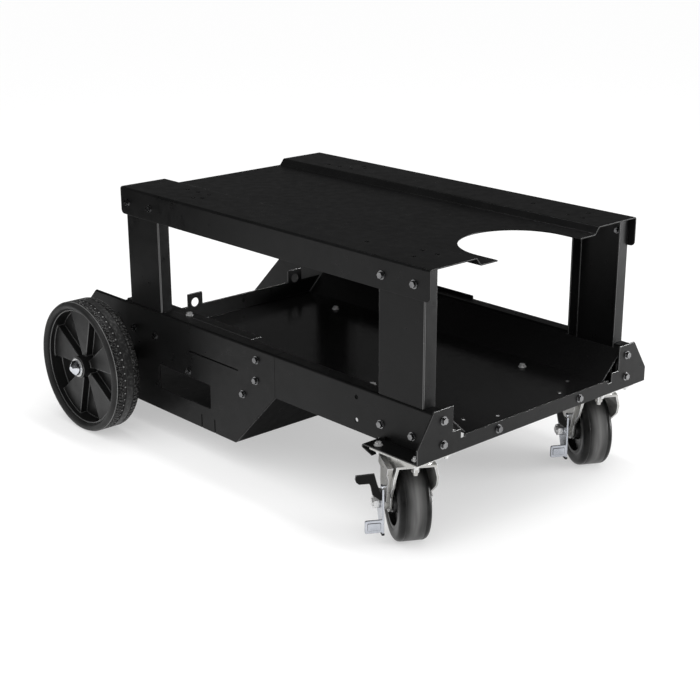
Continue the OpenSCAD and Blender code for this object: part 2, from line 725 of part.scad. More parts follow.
module rear_rim(side) {
    wide = 360 / spokes * spoke_share;
    barrel = rim_r - 3.5;
    front_z = wheel_w - rim_inset;
    floor_z = front_z - pocket_h;
    profile = [[axle_r + run_gap, 1], [hub_r, 1], [hub_r, floor_z - 4], [barrel, floor_z - 4],
        [barrel, rim_inset], [rim_r, rim_inset], [rim_r, front_z], [barrel, front_z],
        [barrel, floor_z], [hub_r, floor_z], [hub_r, wheel_w - 2],
        [axle_r + run_gap, wheel_w - 2]];
    color("#1d1d1f") rear_wheel(side) difference() {
        union() {
            rotate_extrude($fn = 96) polygon(profile);
            translate([0, 0, floor_z - 1]) fan(hub_r - 1, barrel + 1, wide, pocket_h - spoke_in + 1);
        }
        translate([0, 0, 2]) fan(hub_r + 6, barrel - 4, wide - 8, front_z - spoke_in - 5);
    }
}

module rear_tyre(side) {
    r = wheel_d / 2;
    half = [[rim_r, rim_inset], [rim_r, rim_inset - 3], [rim_r + 2, 1.5], [rim_r + 5, 0],
        [r - 6, 1], [r - 3, 3.5], [r - 1, 6], [r, 9], [r, 17], [r - 2, 17.5], [r - 2, 19.5],
        [r, 20]];
    outline = concat(half, [for (i = [11 : -1 : 0]) [half[i][0], wheel_w - half[i][1]]]);
    color("#151516") rear_wheel(side) rotate_extrude($fn = 96) polygon(outline);
}

// Places children at a caster's swivel axis, without the swivel turn
module caster_base(side) cart() translate([caster_x, swivel_y(side), 0]) children();

// Places children at a swivelled caster: X along its axle, Y along its trail
module caster_swivel(side) caster_base(side) rotate([0, 0, swivel_turn]) children();

// Places children at a caster's axle
module caster_hubs(side) caster_swivel(side) translate([0, trail, caster_r]) children();

module caster_plate(side) {
    z0 = caster_h - caster_plate_t;
    color("#c9cbcd") difference() {
        caster_base(side) translate([-caster_plate_l / 2, -caster_plate_w / 2, z0])
            linear_extrude(caster_plate_t) plate_2d(caster_plate_l, caster_plate_w, 6);
        caster_base(side) translate([0, 0, z0 - 1]) cylinder(r = 8 + run_gap, h = 10);
        cart() for (p = caster_bolt_at(side))
            translate([p[0], p[1], z0 - 1]) cylinder(r = hole_r, h = caster_plate_t + 2);
    }
}

// Underside of the upper races
race_z = crown_z1 + 8.6;

module upper_race(side) {
    color("#aeb1b4") caster_base(side) translate([0, 0, race_z]) difference() {
        cylinder(r = 29.4, h = caster_h - caster_plate_t - race_z);
        translate([0, 0, -1]) cylinder(r = 8 + run_gap, h = 10);
    }
}

module kingpin(side) {
    color("#8d9094") caster_base(side) {
        translate([0, 0, race_z]) cylinder(r = 8, h = caster_h - race_z);
        translate([0, 0, crown_z1 - crown_t - 10.5]) cylinder(r = 6, h = race_z - crown_z1 + crown_t + 11);
        translate([0, 0, crown_z1 - crown_t - free_gap - 8]) cylinder(r = 10, h = 8, $fn = 6);
    }
}

module swivel_balls(side) {
    color("#d5d7d9") caster_base(side) for (k = [0 : 15])
        rotate([0, 0, k * 22.5]) translate([23, 0, crown_z1 + 6]) sphere(r = 2.3, $fn = 24);
}

// Fork with a flat crown, a cup for the balls, two trailing legs, and a short
// screw with its nut under the front of the crown
module fork(side) {
    leg = [[-30, crown_z1], [-30, crown_z1 - 20], [-24, crown_z1 - 36],
        [trail - 20, caster_r + 14], [trail - 16.5, caster_r - 4], [trail + 16.5, caster_r - 4],
        [trail + 17, caster_r + 14], [trail + 8, crown_z1 - 18], [33, crown_z1]];
    bow = [[fork_out, caster_r - 20], [fork_out, caster_r + 16],
        [fork_out + fork_bulge, caster_r + 38], [fork_out + fork_bulge, crown_z1 - 20],
        [fork_out, crown_z1 - crown_t], [fork_out, crown_z1]];
    screw = [0, -22, crown_z1 - crown_t];
    cup = [[17, 0], [34, 0], [34, 8], [30.2, 8], [30.2, 3.6], [17, 3.6]];
    color("#b4b7ba") caster_swivel(side) difference() {
        union() {
            translate([-fork_out, -30, crown_z1 - crown_t]) cube([fork_w, 63, crown_t]);
            translate([0, 0, crown_z1 - 0.01]) rotate_extrude() polygon(cup);
            for (turn = [0, 1])
                mirror([turn, 0, 0]) intersection() {
                    along_y(-30, trail + 17) polygon(strip(rounded(bow, 6), fork_t));
                    translate([fork_in - 1, 0, 0]) rotate([90, 0, 90]) linear_extrude(fork_t + 8) {
                        polygon(leg);
                        translate([trail, caster_r]) circle(17);
                    }
                }
            translate(screw - [0, 0, 8.5]) cylinder(r = 7, h = 8.6, $fn = 6);
            translate(screw - [0, 0, 14]) cylinder(r = 4, h = 14);
        }
        translate([0, 0, crown_z1 - 10]) cylinder(r = 6 + run_gap, h = 20);
        translate([0, trail, caster_r]) bar_x(caster_axle_r + run_gap, -fork_w, fork_w);
    }
}

module caster_axle(side) {
    nut_x = lever_x + lever_t + free_gap;
    color("#9a9da0") caster_hubs(side) {
        bar_x(caster_axle_r, -nut_x - 11, fork_out + 1);
        bar_x(caster_axle_r + 4, -nut_x - 1.5, -nut_x);
        translate([-nut_x - 8.5, 0, 0]) rotate([0, 90, 0])
            cylinder(r = caster_axle_r + 4.5, h = 7.5, $fn = 6);
        translate([fork_out, 0, 0]) rotate([0, 90, 0])
            cylinder(r = caster_axle_r + 4.5, h = 7.5, $fn = 6);
    }
}

module axle_bush(side) {
    color("#8d9094") caster_hubs(side) difference() {
        bar_x(bush_r, -fork_in, fork_in);
        bar_x(caster_axle_r + run_gap, -fork_w, fork_w);
    }
}

module caster_hub(side) {
    half = [[bush_r + run_gap, caster_w / 2], [18, caster_w / 2], [20, caster_w / 2 - 9],
        [36, caster_w / 2 - 9], [39, caster_w / 2 - 1], [44, caster_w / 2 - 1]];
    outline = concat(half, [for (i = [5 : -1 : 0]) [half[i][0], -half[i][1]]]);
    color("#19191b") caster_hubs(side) rotate([0, 90, 0]) rotate_extrude($fn = 72) polygon(outline);
}

module caster_tread(side) {
    round_r = 8;
    w = caster_w / 2;
    shoulder = [for (a = [0 : 15 : 90])
        [caster_r - round_r + round_r * sin(a), w - round_r + round_r * cos(a)]];
    half = concat([[44, w - 1], [46, w]], shoulder);
    outline = concat(half, [for (i = [len(half) - 1 : -1 : 0]) [half[i][0], -half[i][1]]]);
    color("#1b1b1d") caster_hubs(side) rotate([0, 90, 0]) rotate_extrude($fn = 96) polygon(outline);
}

// Brake guard on the fork's outer face: a cam housing round the axle, and a bent
// sheet in front of the brake that is deepest under the crown
module brake_cam(side) {
    top = crown_z1 - caster_r - 1;
    foot = 4;
    front = -30 - trail;
    inner = fork_bulge + 0.2;
    t = guard_t;
    outline = [[0, foot], [0, 14], [-inner, 36], [-inner, top], [-guard_w, top],
        [-guard_w, 64], [0.5 - cam_h, 54], [-6, foot]];
    room = [[1, foot - 1], [1, top - t], [t - guard_w, top - t], [t - guard_w, 64],
        [t + 0.5 - cam_h, 54], [t - 6, foot - 1]];
    color("#c9cbcd") caster_hubs(side) translate([-fork_out, 0, 0]) difference() {
        union() {
            bar_x(13, -cam_h, 0);
            difference() {
                intersection() {
                    along_y(front, 18) polygon(outline);
                    along_x(-guard_w, 0) polygon([[front, top], [-16, foot], [16, foot],
                        [16, 30], [2, top]]);
                }
                intersection() {
                    along_y(front, 19) polygon(room);
                    along_x(-guard_w, 2) polygon([[front + 1.7 * t, top],
                        [-16 + 1.7 * t, foot - 1], [20, foot - 1], [20, top]]);
                }
            }
        }
        bar_x(caster_axle_r + run_gap, -cam_h - 1, 1);
    }
}

// Place of the brake's tabs in front of the axle
tab_y = -24;

// A tab across the brake: an [x, z] outline that is tab_t thick from y on
module brake_tab(y, tab_t) translate([0, y + tab_t, 0]) rotate([90, 0, 0]) linear_extrude(tab_t)
    children();

// Brake lever: a plate round the axle with a stepping tab at its lower end
module brake_lever(side) {
    foot = -46;
    tab_z = -41;
    tab_h = 21;
    tab_l = fork_out + tab_reach - lever_x - lever_t;
    color("#d0d2d4") caster_hubs(side) translate([-lever_x - lever_t, 0, 0]) difference() {
        union() {
            rotate([90, 0, 90]) linear_extrude(lever_t) {
                circle(19);
                polygon([[tab_y, foot], [-6, foot], [14, -10], [-17, 8], [tab_y, 30], [tab_y, 0]]);
            }
            brake_tab(tab_y, 3) translate([-tab_l, tab_z]) plate_2d(tab_l + lever_t, tab_h, 3);
            brake_tab(tab_y - 1, 2) translate([4 - tab_l, tab_z + 4.5])
                plate_2d(tab_l - 6, tab_h - 9, 2);
        }
        bar_x(caster_axle_r + run_gap, -1, lever_t + 1);
    }
}

// Black upper pedal, fixed to the outer face of the brake lever
module brake_pedal(side) {
    pedal_t = 3;
    tab_l = fork_out + pedal_reach - lever_x - lever_t - pedal_t;
    color("#141414") caster_hubs(side) translate([-lever_x - lever_t - pedal_t, 0, 0]) {
        rotate([90, 0, 90]) linear_extrude(pedal_t)
            polygon([[tab_y, 12], [tab_y + 12, 20], [tab_y + 12, 28], [tab_y, 30]]);
        brake_tab(tab_y, 3) polygon([[-tab_l, 50], [-tab_l + 1.5, 45], [-tab_l + 6, 41], [-17, 41],
            [-15, 37], [-12, 22], [0, 12], [pedal_t, 12], [pedal_t, 20], [-4, 38], [-9, 57],
            [1 - tab_l, 56]]);
    }
}

// A hex bolt with a washer: its shank runs along -Z, and z = 0 is the sheet
module hex_bolt(grip) {
    translate([0, 0, -grip]) cylinder(r = bolt_r, h = grip + 1);
    cylinder(r = collar_r, h = collar_t);
    translate([0, 0, collar_t]) cylinder(d = head_d, h = head_h, $fn = 6);
}

// A hex nut that stands on z = 0, round a bolt's end
module hex_nut(h = 5) difference() {
    rotate([0, 0, 30]) cylinder(d = head_d, h = h, $fn = 6);
    translate([0, 0, -1]) cylinder(r = hole_r, h = h + 2);
}

// Sheets that a side bolt holds together: two, or one and a splice plate
grip = 2 * sheet_t;

module frame_bolts() {
    cart() color("#303032") for (side = [-1, 1])
        for (p = side_bolts)
            on_side(side) translate([p[0], -side_y, p[1]]) rotate([90, 0, 0]) hex_bolt(grip + bolt_tail);
}

module frame_nuts() {
    cart() color("#303032") for (side = [-1, 1])
        for (p = side_bolts)
            on_side(side) translate([p[0], -side_y + grip, p[1]]) rotate([-90, 0, 0]) hex_nut();
}

module front_bolts() {
    cart() color("#8d9094") for (p = concat(gusset_bolts, strip_bolts))
        translate([front_x + plate_t, p[0], p[1]]) rotate([0, 90, 0]) hex_bolt(plate_t + sheet_t + bolt_tail);
}

module front_nuts() {
    cart() color("#8d9094") for (p = concat(gusset_bolts, strip_bolts))
        translate([front_x - sheet_t, p[0], p[1]]) rotate([0, -90, 0]) hex_nut();
}

module caster_bolts() {
    cart() color("#b8babc") for (side = [-1, 1])
        for (p = caster_bolt_at(side))
            translate([p[0], p[1], bracket_z1]) hex_bolt(plate_t + caster_plate_t + bolt_tail);
}

module caster_nuts() {
    cart() color("#d5d7d9") for (side = [-1, 1])
        for (p = caster_bolt_at(side))
            translate([p[0], p[1], caster_h - caster_plate_t]) rotate([180, 0, 0]) hex_nut();
}

// Bright bolts in the tray floor, and one in the right cover strip
module tray_bolts() {
    cart() color("#d5d7d9") {
        for (p = tray_bolt_at)
            translate([p[0], p[1], tray_z]) hex_bolt(2 * sheet_t + 2);
        for (side = [-1, 1])
            on_side(side) translate([cover_bolt_x, -cover_bolt_y, base_h]) hex_bolt(sheet_t + 1);
    }
}

top_shelf();
front_post(-1);  // front_post_right
front_post(1);  // front_post_left
rear_post(-1);  // rear_post_right
rear_post(1);  // rear_post_left
rear_post_clips();
front_rail(-1);  // front_rail_right
front_rail(1);  // front_rail_left
splice(-1);  // splice_right
splice(1);  // splice_left
side_panel(-1);  // side_panel_right
side_panel(1);  // side_panel_left
cylinder_platform();
tray();
tray_rear_wall();
tray_crossmember();
cover_strips();
front_plate();
caster_bracket(-1);  // caster_bracket_right
caster_bracket(1);  // caster_bracket_left
rear_axle();
axle_spacers();
axle_washers();
axle_caps();
rear_rim(-1);  // rear_rim_right
rear_rim(1);  // rear_rim_left
rear_tyre(-1);  // rear_tyre_right
rear_tyre(1);  // rear_tyre_left
caster_plate(-1);  // caster_plate_right
caster_plate(1);  // caster_plate_left
upper_race(-1);  // upper_race_right
upper_race(1);  // upper_race_left
kingpin(-1);  // kingpin_right
kingpin(1);  // kingpin_left
swivel_balls(-1);  // swivel_balls_right
swivel_balls(1);  // swivel_balls_left
fork(-1);  // fork_right
fork(1);  // fork_left
caster_axle(-1);  // caster_axle_right
caster_axle(1);  // caster_axle_left
axle_bush(-1);  // axle_bush_right
axle_bush(1);  // axle_bush_left
caster_hub(-1);  // caster_hub_right
caster_hub(1);  // caster_hub_left
caster_tread(-1);  // caster_tread_right
caster_tread(1);  // caster_tread_left
brake_cam(-1);  // brake_cam_right
brake_cam(1);  // brake_cam_left
brake_lever(-1);  // brake_lever_right
brake_lever(1);  // brake_lever_left
brake_pedal(-1);  // brake_pedal_right
brake_pedal(1);  // brake_pedal_left
frame_bolts();
frame_nuts();
front_bolts();
front_nuts();
caster_bolts();
caster_nuts();
tray_bolts();
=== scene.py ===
"""Looks of a low welding cart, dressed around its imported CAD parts. Metres."""
import math

import bmesh
import bpy
from mathutils import Matrix, Vector


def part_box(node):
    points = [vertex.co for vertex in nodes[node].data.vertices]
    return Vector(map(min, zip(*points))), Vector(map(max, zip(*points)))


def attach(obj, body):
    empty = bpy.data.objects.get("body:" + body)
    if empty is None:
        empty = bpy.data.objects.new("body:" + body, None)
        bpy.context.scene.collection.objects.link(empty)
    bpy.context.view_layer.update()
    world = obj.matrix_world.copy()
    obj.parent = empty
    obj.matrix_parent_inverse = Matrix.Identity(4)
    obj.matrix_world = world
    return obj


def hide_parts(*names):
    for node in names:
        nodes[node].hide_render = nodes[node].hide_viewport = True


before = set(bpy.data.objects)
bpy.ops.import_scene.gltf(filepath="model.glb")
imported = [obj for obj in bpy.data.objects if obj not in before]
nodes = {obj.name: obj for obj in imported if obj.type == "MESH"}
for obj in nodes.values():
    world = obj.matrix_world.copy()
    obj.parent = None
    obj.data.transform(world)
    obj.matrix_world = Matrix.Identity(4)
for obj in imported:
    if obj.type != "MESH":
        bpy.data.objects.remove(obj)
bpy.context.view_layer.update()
SIDES = ("right", "left")
MM_PER_M = 1000

# Camera
CAMERA_PLACE = Vector((1.82963, -1.60145, 0.96506))
CAMERA_AZIMUTH = math.radians(47.523)
CAMERA_ELEVATION = math.radians(18.618)
CAMERA_ROLL = math.radians(-0.134)
CAMERA_LENS = 72.197
CAMERA_SENSOR = 36
CAMERA_RANGE = (0.05, 200)


def make_camera():
    """The photograph's camera, with no shift and no depth of field."""
    data = bpy.data.cameras.new("camera")
    data.lens = CAMERA_LENS
    data.sensor_width = CAMERA_SENSOR
    data.clip_start, data.clip_end = CAMERA_RANGE
    camera = bpy.data.objects.new("camera", data)
    bpy.context.scene.collection.objects.link(camera)
    back = Vector((
        math.sin(CAMERA_AZIMUTH) * math.cos(CAMERA_ELEVATION),
        -math.cos(CAMERA_AZIMUTH) * math.cos(CAMERA_ELEVATION),
        math.sin(CAMERA_ELEVATION),
    ))
    right = Vector((0, 0, 1)).cross(back).normalized()
    up = back.cross(right)
    c, s = math.cos(CAMERA_ROLL), math.sin(CAMERA_ROLL)
    turned_right, turned_up = c * right + s * up, c * up - s * right
    axes = Matrix((turned_right, turned_up, back)).transposed().to_4x4()
    camera.matrix_world = Matrix.Translation(CAMERA_PLACE) @ axes
    bpy.context.scene.camera = camera


make_camera()

# Materials
# Sockets of a colour Mix node, which has one set of them for each data type
MIX_FACTOR, MIX_FIRST, MIX_SECOND, MIX_RESULT = 0, 6, 7, 2


class Paint:
    """A procedural material that grows from its Principled shader."""

    def __init__(self, name, **sockets):
        self.material = bpy.data.materials.new(name)
        self.material.use_nodes = True
        self.tree = self.material.node_tree
        self.shader = self.tree.nodes["Principled BSDF"]
        self.coords = self.add("ShaderNodeTexCoord").outputs["Object"]
        for socket, value in sockets.items():
            self.shader.inputs[socket.replace("_", " ")].default_value = value

    def add(self, kind, **settings):
        node = self.tree.nodes.new(kind)
        for key, value in settings.items():
            setattr(node, key, value)
        return node

    def link(self, source, target):
        self.tree.links.new(source, target)

    def noise(self, scale, detail=2.0, stretch=(1, 1, 1)):
        mapping = self.add("ShaderNodeMapping")
        mapping.inputs["Scale"].default_value = stretch
        self.link(self.coords, mapping.inputs["Vector"])
        node = self.add("ShaderNodeTexNoise")
        node.inputs["Scale"].default_value = scale
        node.inputs["Detail"].default_value = detail
        self.link(mapping.outputs["Vector"], node.inputs["Vector"])
        return node.outputs["Fac"]

    def cells(self, scale):
        node = self.add("ShaderNodeTexVoronoi")
        node.inputs["Scale"].default_value = scale
        self.link(self.coords, node.inputs["Vector"])
        return node.outputs["Distance"]

    def spread(self, value, low, high, out_low, out_high):
        """The value's range low to high, stretched to out_low to out_high."""
        node = self.add("ShaderNodeMapRange")
        for socket, number in zip(("From Min", "From Max", "To Min", "To Max"),
                                  (low, high, out_low, out_high)):
            node.inputs[socket].default_value = number
        self.link(value, node.inputs["Value"])
        return node.outputs["Result"]

    def blend(self, value, first, second):
        """A colour from first to second as value goes from 0 to 1."""
        node = self.add("ShaderNodeMix", data_type="RGBA")
        for socket, colour in ((MIX_FIRST, first), (MIX_SECOND, second)):
            if isinstance(colour, tuple):
                node.inputs[socket].default_value = (*colour, 1)
            else:
                self.link(colour, node.inputs[socket])
        self.link(value, node.inputs[MIX_FACTOR])
        return node.outputs[MIX_RESULT]

    def base(self, colour):
        self.link(colour, self.shader.inputs["Base Color"])

    def rough(self, value):
        self.link(value, self.shader.inputs["Roughness"])

    def bump(self, *layers):
        """Each layer is a height, its strength and its depth in metres."""
        normal = None
        for height, strength, depth in layers:
            node = self.add("ShaderNodeBump")
            node.inputs["Strength"].default_value = strength
            node.inputs["Distance"].default_value = depth
            self.link(height, node.inputs["Height"])
            if normal:
                self.link(normal, node.inputs["Normal"])
            normal = node.outputs["Normal"]
        self.link(normal, self.shader.inputs["Normal"])


def powder_coat(name, dark, light, rough, specular):
    """Satin powder coat: fine orange peel, faint clouds and a few dust specks."""
    paint = Paint(name, Specular_IOR_Level=specular)
    clouds = paint.noise(7, 3)
    specks = paint.spread(paint.noise(420, 1), 0.74, 0.8, 0, 1)
    base = paint.blend(paint.spread(clouds, 0.35, 0.65, 0, 1), dark, light)
    paint.base(paint.blend(specks, base, tuple(3 * c for c in light)))
    paint.rough(paint.spread(paint.noise(60, 4), 0.3, 0.7, rough - 0.05, rough + 0.06))
    paint.bump((paint.noise(520, 2), 0.12, 0.0004), (paint.noise(90, 1), 0.04, 0.001))
    return paint.material


def plated(name, dark, light, rough, metallic=1.0):
    """Plated or turned metal with soft patches and a fine grain."""
    paint = Paint(name, Metallic=metallic)
    patches = paint.noise(45, 4)
    paint.base(paint.blend(paint.spread(patches, 0.3, 0.7, 0, 1), dark, light))
    paint.rough(paint.spread(paint.noise(160, 3), 0.3, 0.7, rough - 0.06, rough + 0.08))
    paint.bump((paint.noise(700, 2), 0.04, 0.0001))
    return paint.material


def moulded(name, dark, light, rough, specular, grain, depth):
    """Moulded plastic or rubber: a fine skin grain and rubbed patches."""
    paint = Paint(name, Specular_IOR_Level=specular)
    patches = paint.noise(18, 4)
    paint.base(paint.blend(paint.spread(patches, 0.3, 0.7, 0, 1), dark, light))
    paint.rough(paint.spread(paint.noise(40, 4), 0.3, 0.7, rough - 0.07, rough + 0.08))
    paint.bump((paint.cells(grain), 0.25, depth), (paint.noise(grain / 4, 2), 0.1, depth))
    return paint.material


def rubber(name, dark, light, rubbed_and_lit, rough, specular, middle, stretch):
    """Rubber that is paler where its distance from the middle is small: partly rubbed wear,
    partly a painted sheen where the tread faces the light.

    middle is (start, end) in metres along the piece's own X axis; the pale part, wear and
    painted sheen, has soft streaks round the wheel.
    """
    paint = Paint(name, Specular_IOR_Level=specular)
    apart = paint.add("ShaderNodeSeparateXYZ")
    paint.link(paint.coords, apart.inputs["Vector"])
    offset = paint.add("ShaderNodeMath", operation="ABSOLUTE")
    paint.link(apart.outputs["X"], offset.inputs[0])
    band = paint.spread(offset.outputs[0], middle[0], middle[1], 1, 0)
    streaks = paint.spread(paint.noise(9, 2, stretch), 0.3, 0.7, 0.25, 1)
    wear_and_sheen = paint.add("ShaderNodeMath", operation="MULTIPLY")
    paint.link(band, wear_and_sheen.inputs[0])
    paint.link(streaks, wear_and_sheen.inputs[1])
    skin = paint.blend(paint.spread(paint.noise(60, 4), 0.3, 0.7, 0, 1), dark, light)
    paint.base(paint.blend(wear_and_sheen.outputs[0], skin, rubbed_and_lit))
    paint.rough(paint.spread(wear_and_sheen.outputs[0], 0, 1, rough, rough + 0.2))
    paint.bump((paint.cells(900), 0.2, 0.00008), (paint.noise(140, 3), 0.15, 0.0002))
    return paint.material


def speckled(name, dark, light, rough, specular, scale):
    """Worn tread rubber: dark, with paler dusty specks."""
    paint = Paint(name, Specular_IOR_Level=specular)
    specks = paint.spread(paint.noise(scale, 3), 0.5, 0.66, 0, 1)
    paint.base(paint.blend(specks, dark, light))
    paint.rough(paint.spread(paint.noise(120, 3), 0.3, 0.7, rough - 0.1, rough + 0.1))
    paint.bump((paint.noise(300, 3), 0.5, 0.0009))
    return paint.material


# Powder coats: darkest and lightest colour, roughness, specular level
COAT = powder_coat("powder_coat", (0.0040, 0.0040, 0.0041),
                   (0.0055, 0.0055, 0.0056), 0.32, 0.15)
# Painted light: the tray's glossier coat is also lighter than the black coat elsewhere, which
# lifts the shaded tray
TRAY_GLOSS_LIT = powder_coat("tray_coat_lit", (0.0055, 0.0055, 0.0056),
                    (0.0075, 0.0075, 0.0076), 0.16, 0.18)
# Painted highlight: a lighter, shinier copy of the black coat that goes on rounded edges
EDGE_HIGHLIGHT = powder_coat("coat_edge_highlight", (0.019, 0.019, 0.0192),
                   (0.038, 0.038, 0.0383), 0.2, 1.0)
PEDAL = powder_coat("pedal_coat", (0.002, 0.002, 0.002),
                    (0.003, 0.003, 0.003), 0.28, 0.12)

# Metals: darkest and lightest colour, roughness, share of bare metal
ZINC = plated("zinc_plate", (0.39, 0.385, 0.37), (0.49, 0.485, 0.465), 0.32, 0.7)
# Painted highlight: a much lighter zinc for the rounded edges of the caster plate, fork and
# brake cam
ZINC_EDGE_HIGHLIGHT = plated("zinc_edge_highlight", (0.72, 0.73, 0.75), (0.86, 0.87, 0.89), 0.2)
SCREWS = plated("zinc_screws", (0.55, 0.55, 0.55), (0.75, 0.75, 0.75), 0.26, 0.6)
LEVER = plated("lever_plate", (0.42, 0.44, 0.48), (0.56, 0.58, 0.63), 0.22, 0.9)
CHROME = plated("chrome_plate", (0.58, 0.60, 0.64), (0.74, 0.76, 0.80), 0.13)
STEEL = plated("plain_steel", (0.4, 0.41, 0.42), (0.56, 0.57, 0.58), 0.34)
OXIDE = plated("frame_fasteners", (0.14, 0.14, 0.144), (0.26, 0.26, 0.264), 0.22)

# Plastics and rubbers: darkest and lightest colour, roughness, specular
# level, then the size of the grain and its depth, or the size of the specks
RIM = moulded("rim_plastic", (0.004, 0.004, 0.004), (0.008, 0.008, 0.008),
              0.38, 0.35, 1400, 0.00008)
# Painted highlight: a lighter, shinier plastic for the rim's rounded edges
RIM_EDGE_HIGHLIGHT = moulded("rim_edge_highlight", (0.03, 0.03, 0.03), (0.055, 0.055, 0.055),
                   0.2, 1.0, 1400, 0.00003)
TYRE = moulded("tyre_rubber", (0.008, 0.008, 0.008), (0.020, 0.020, 0.0198),
               0.48, 0.3, 1100, 0.00015)
TREAD = speckled("tyre_tread", (0.005, 0.005, 0.005), (0.09, 0.09, 0.0885),
                 0.42, 0.4, 330)
BAND = speckled("tyre_band", (0.014, 0.014, 0.014), (0.048, 0.048, 0.0474),
                0.42, 0.4, 200)
# Painted highlight: the bead ring is lighter and glossier than the tyre around it
BEAD_HIGHLIGHT = moulded("tyre_bead_highlight", (0.07, 0.07, 0.07), (0.16, 0.16, 0.158),
               0.26, 0.8, 900, 0.00005)
# Painted glints: one step of each nub is much lighter and glossier
NUB_GLINT = moulded("tyre_nub_glints", (0.15, 0.15, 0.15), (0.30, 0.30, 0.296),
              0.4, 0.8, 900, 0.00005)
# Caster rubber: its paler middle is partly wear and partly a painted sheen
CASTER = rubber("caster_rubber", (0.005, 0.005, 0.005), (0.013, 0.013, 0.0129),
                (0.13, 0.1295, 0.128), 0.28, 0.12, (0.003, 0.018), (9, 1.2, 1.2))
CORE = moulded("caster_core", (0.004, 0.004, 0.004), (0.008, 0.008, 0.008),
               0.3, 0.4, 1200, 0.00005)

COATED = [
    "top_shelf", "rear_post_clips", "cylinder_platform", "tray", "tray_rear_wall",
    "tray_crossmember", "cover_strips", "front_plate", "axle_spacers",
    *[f"{name}_{side}" for side in SIDES for name in (
        "front_post", "rear_post", "front_rail", "splice", "side_panel", "caster_bracket")],
]
FINISH = {
    **{name: COAT for name in COATED}, "tray": TRAY_GLOSS_LIT,
    "rear_axle": STEEL, "axle_washers": SCREWS, "axle_caps": CHROME,
    "frame_bolts": OXIDE, "frame_nuts": OXIDE, "front_bolts": OXIDE, "front_nuts": OXIDE,
    "caster_bolts": SCREWS, "caster_nuts": SCREWS, "tray_bolts": SCREWS,
}
for side in SIDES:
    FINISH.update({
        f"rear_rim_{side}": RIM, f"rear_tyre_{side}": TYRE, f"caster_plate_{side}": ZINC,
        f"upper_race_{side}": ZINC, f"kingpin_{side}": ZINC, f"swivel_balls_{side}": STEEL,
        f"fork_{side}": ZINC, f"caster_axle_{side}": SCREWS, f"axle_bush_{side}": STEEL,
        f"caster_hub_{side}": CORE, f"caster_tread_{side}": CASTER, f"brake_cam_{side}": ZINC,
        f"brake_lever_{side}": LEVER, f"brake_pedal_{side}": PEDAL,
    })

for name, material in FINISH.items():
    nodes[name].data.materials.clear()
    nodes[name].data.materials.append(material)

# Edge rounding
WELD_DISTANCE = 1e-6
FLAT_ANGLE = math.radians(0.6)
SHARP_ANGLE = math.radians(28)
# A rounding wider than this, in metres, has three facets, all others two
WIDE_ROUNDING = 0.001
PLAIN_ROUNDING = (0.0003, None)


def soften(node, width, finish):
    """Rounds a CAD node's sharp edges with modifiers; its own mesh stays."""
    # A given finish goes on the rounding's faces: a lighter one is a painted highlight along
    # the edges, a darker one painted shade
    if finish:
        node.data.materials.append(finish)
    weld = node.modifiers.new("weld", "WELD")
    weld.merge_threshold = WELD_DISTANCE
    merge = node.modifiers.new("merge", "DECIMATE")
    merge.decimate_type = "DISSOLVE"
    merge.angle_limit = FLAT_ANGLE
    bevel = node.modifiers.new("bevel", "BEVEL")
    bevel.width = width
    bevel.segments = 3 if width > WIDE_ROUNDING else 2
    bevel.limit_method = "ANGLE"
    bevel.angle_limit = SHARP_ANGLE
    bevel.harden_normals = False
    bevel.use_clamp_overlap = finish is None
    if finish:
        bevel.material = 1
    shade = node.modifiers.new("shade", "WEIGHTED_NORMAL")
    shade.keep_sharp = False


# The rounding of each piece's edges in metres, and the finish of the rounding; the lighter
# edge finishes are painted highlights
ROUNDING = {name: (0.0007, EDGE_HIGHLIGHT) for name in COATED}
ROUNDING["top_shelf"] = (0.0007, COAT)
for side in SIDES:
    ROUNDING.update({
        f"side_panel_{side}": (0.0007, COAT), f"front_rail_{side}": (0.0007, COAT),
        f"rear_rim_{side}": (0.0012, RIM_EDGE_HIGHLIGHT), f"swivel_balls_{side}": None,
        f"caster_plate_{side}": (0.0005, ZINC_EDGE_HIGHLIGHT), f"fork_{side}": (0.0006, ZINC_EDGE_HIGHLIGHT),
        # The brake lever's rounding takes the dark fastener finish: painted shade along the
        # lever's bright edges
        f"brake_cam_{side}": (0.0005, ZINC_EDGE_HIGHLIGHT), f"brake_lever_{side}": (0.0004, OXIDE),
        f"brake_pedal_{side}": (0.0005, EDGE_HIGHLIGHT),
    })
for name, node in nodes.items():
    rounding = ROUNDING.get(name, PLAIN_ROUNDING)
    if rounding:
        soften(node, *rounding)


# Tyres and treads
def revolve(outline, steps, radius_at, place):
    """A ring solid round an axis: outline is its points as (radius, across)."""
    bm = bmesh.new()
    grid = []
    for i in range(steps):
        angle = 2 * math.pi * i / steps
        row = []
        for j, (radius, across) in enumerate(outline):
            r = radius_at(i, j, radius)
            row.append(bm.verts.new(place(r * math.cos(angle), r * math.sin(angle), across)))
        grid.append(row)
    for i in range(steps):
        for j in range(len(outline)):
            a, b = grid[i], grid[(i + 1) % steps]
            k = (j + 1) % len(outline)
            bm.faces.new((a[j], b[j], b[k], a[k]))
    return bm


def same_radius(i, j, radius):
    return radius


def paint_rings(bm, count, index_at):
    """Gives each face of a ring solid with count rings its material's index."""
    bm.faces.ensure_lookup_table()
    for n, face in enumerate(bm.faces):
        face.material_index = index_at(n // count, n % count)


def as_object(bm, name, materials, smooth=True):
    bmesh.ops.recalc_face_normals(bm, faces=bm.faces)
    mesh = bpy.data.meshes.new(name)
    bm.to_mesh(mesh)
    bm.free()
    for material in materials:
        mesh.materials.append(material)
    if smooth:
        mesh.polygons.foreach_set("use_smooth", [True] * len(mesh.polygons))
    thing = bpy.data.objects.new(name, mesh)
    bpy.context.scene.collection.objects.link(thing)
    return thing


# Edges sharper than these angles, in degrees, stay creased
TYRE_CREASE, TREAD_CREASE, SMALL_CREASE = 32, 40, 50


def shade_by_angle(thing, degrees):
    thing.data.set_sharp_from_angle(angle=math.radians(degrees))


